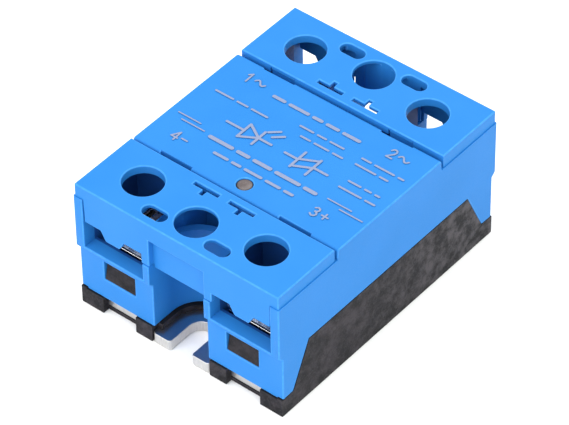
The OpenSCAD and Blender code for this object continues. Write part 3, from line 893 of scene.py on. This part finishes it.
MARKS = {                # strokes, in parts of a mark's height
    "1": [[(0.08, 0.74), (0.34, 1), (0.34, 0)]],
    "2": [[(0.04, 0.76), (0.14, 0.94), (0.3, 1), (0.46, 0.93), (0.54, 0.74), (0.47, 0.52),
           (0.04, 0), (0.58, 0)]],
    "3": [[(0.05, 0.86), (0.24, 1), (0.44, 0.93), (0.51, 0.76), (0.43, 0.59), (0.25, 0.53),
           (0.46, 0.45), (0.55, 0.26), (0.45, 0.07), (0.24, 0), (0.04, 0.14)]],
    "4": [[(0.45, 0), (0.45, 1), (0.02, 0.3), (0.62, 0.3)]],
    "+": [[(0, 0.5), (0.6, 0.5)], [(0.3, 0.2), (0.3, 0.8)]],
    "-": [[(0, 0.5), (0.55, 0.5)]],
    "~": [[(0.1 * i, 0.5 + 0.22 * math.sin(math.radians(36 * i))) for i in range(11)]],
}

SWITCH_DIAGRAM = (       # an optical switch, in millimetres
    [(-12.4, 0), (-8.6, 0)], [(-8.6, -1.9), (-8.6, 1.9), (-5.4, 0), (-8.6, -1.9)],
    [(-5.4, -1.9), (-5.4, 1.9)], [(-5.4, 0), (-2.6, 0)],
    [(-5.0, 2.2), (-3.4, 3.6)], [(-3.7, 1.6), (-2.1, 3.0)],
    [(0.4, 0), (3.2, 0)], [(3.2, -2.2), (3.2, 2.2)], [(6.6, -2.2), (6.6, 2.2)],
    [(3.2, 0.15), (6.6, 1.9), (6.6, 0.2)], [(6.6, -0.15), (3.2, -1.9), (3.2, -0.2)],
    [(6.6, 0), (9.6, 0)],
)


def printed_marks():
    """Terminal numbers, polarity, a switch diagram, rules, and dashes in place of the ratings."""
    top = box_mm("housing")[1].z
    bm = new_shape()
    drawn = []
    lift = 0.0003           # keeps crossing lines out of one plane

    def ink(points, width):
        add_strip(bm, points, width, top + lift * len(drawn))
        drawn.append(points)

    def write(marks, x, y, size, width):
        for i, mark in enumerate(marks):
            for line in MARKS[mark]:
                ink([(x + (0.92 * i + px) * size, y + py * size) for px, py in line], width)

    def dashes(x0, x1, y, width, lengths):
        x, i = x0, 0
        while x < x1 - 2 * width:
            end = min(x1, x + lengths[i % len(lengths)])
            ink([(x + width / 2, y), (end - width / 2, y)], width)
            x = end + 0.6
            i += 1

    for marks, x, y in (("1~", -17.3, 9.0), ("2~", 14.2, 9.0),
                        ("4-", -17.6, -10.3), ("3+", 13.0, -10.3)):
        write(marks, x, y, 2.2, 0.34)
    for x0, x1, y, width, lengths in (
            (-10.5, 8.9, 9.0, 0.7, (3.0, 4.6, 2.4)), (-19.2, -7.4, 4.0, 0.42, (4.2, 2.6)),
            (-2.0, 9.2, 5.9, 0.42, (3.2, 2.2)), (-0.3, 9.3, 3.9, 0.42, (2.4, 3.4)),
            (11.4, 20.6, 6.0, 0.42, (2.2, 4.4)), (11.4, 18.8, 4.2, 0.42, (4.6, 2.0)),
            (13.1, 20.0, 0.2, 0.42, (2.9, 1.6)), (12.7, 20.6, -1.9, 0.42, (5.0, 2.6)),
            (-12.5, 12.6, -5.8, 0.8, (5.6, 3.0, 4.2)), (-9.2, 8.9, -8.5, 0.6, (3.4, 2.2, 4.0))):
        dashes(x0, x1, y, width, lengths)
    for x0, x1, y in ((-20.4, -15.5, -4.3), (-18.8, -13.8, -5.4),
                      (13.3, 18.3, -5.4), (16.5, 21.3, -6.3)):
        ink([(x0, y), (x1, y)], 0.28)
    for line in SWITCH_DIAGRAM:
        ink([(x, y - 1.0) for x, y in line], 0.5)
    piece("panel_print", bm, "housing", material=INK, slot="ceramic", stands_for=False)


printed_marks()


# ---------------------------------------------------------------- studio

def studio():
    """Pale floor, white surroundings and three soft lights, in metres."""
    white, cool = (1, 1, 1), (0.82, 1.0, 0.80)
    world = bpy.data.worlds.new("studio")
    bpy.context.scene.world = world
    world.use_nodes = True
    world.node_tree.nodes["Background"].inputs["Color"].default_value = (1, 1, 1, 1)
    world.node_tree.nodes["Background"].inputs["Strength"].default_value = 0.78
    floor_mesh = bpy.data.meshes.new("floor")
    reach = 3.0
    corners = [(-reach, -reach, 0), (reach, -reach, 0), (reach, reach, 0), (-reach, reach, 0)]
    floor_mesh.from_pydata(corners, [], [(0, 1, 2, 3)])
    floor = bpy.data.objects.new("floor", floor_mesh)
    floor.location.z = CAD_BOX[0].z - 0.02 * MM
    bpy.context.scene.collection.objects.link(floor)
    material, _, bsdf = shader("floor", roughness=0.9)
    bsdf.inputs["Base Color"].default_value = (0.95, 0.95, 0.95, 1)
    floor_mesh.materials.append(material)
    for name, place, width, power, colour in (("key", (-0.06, -0.48, 0.42), 0.8, 4.6, white),
                                              ("fill", (0.56, -0.12, 0.22), 0.4, 1.08, cool),
                                              ("top", (0.05, 0.2, 0.6), 0.8, 3.5, white)):
        data = bpy.data.lights.new(name, "AREA")
        data.energy = power
        data.size = width
        data.color = colour
        lamp = bpy.data.objects.new(name, data)
        lamp.location = place
        lamp.rotation_mode = "QUATERNION"
        lamp.rotation_quaternion = (-Vector(place)).to_track_quat("-Z", "Y")
        bpy.context.scene.collection.objects.link(lamp)


def camera():
    """The viewpoint: beyond the control end's right corner, looking down."""
    azimuth, elevation, roll = (math.radians(a) for a in (39.919, 43.146, -0.902))
    back = Vector((math.sin(azimuth) * math.cos(elevation),
                   -math.cos(azimuth) * math.cos(elevation), math.sin(elevation)))
    data = bpy.data.cameras.new("camera")
    data.lens = 244.67
    data.sensor_width = 36
    data.clip_start, data.clip_end = 0.02, 20
    view = bpy.data.objects.new("camera", data)
    view.location = (0.3116, -0.3733, 0.4686)
    view.rotation_mode = "QUATERNION"
    view.rotation_quaternion = (-back).to_track_quat("-Z", "Y") @ Quaternion((0, 0, 1), roll)
    bpy.context.scene.collection.objects.link(view)
    bpy.context.scene.camera = view


studio()
camera()
bpy.context.scene.view_settings.view_transform = "Standard"
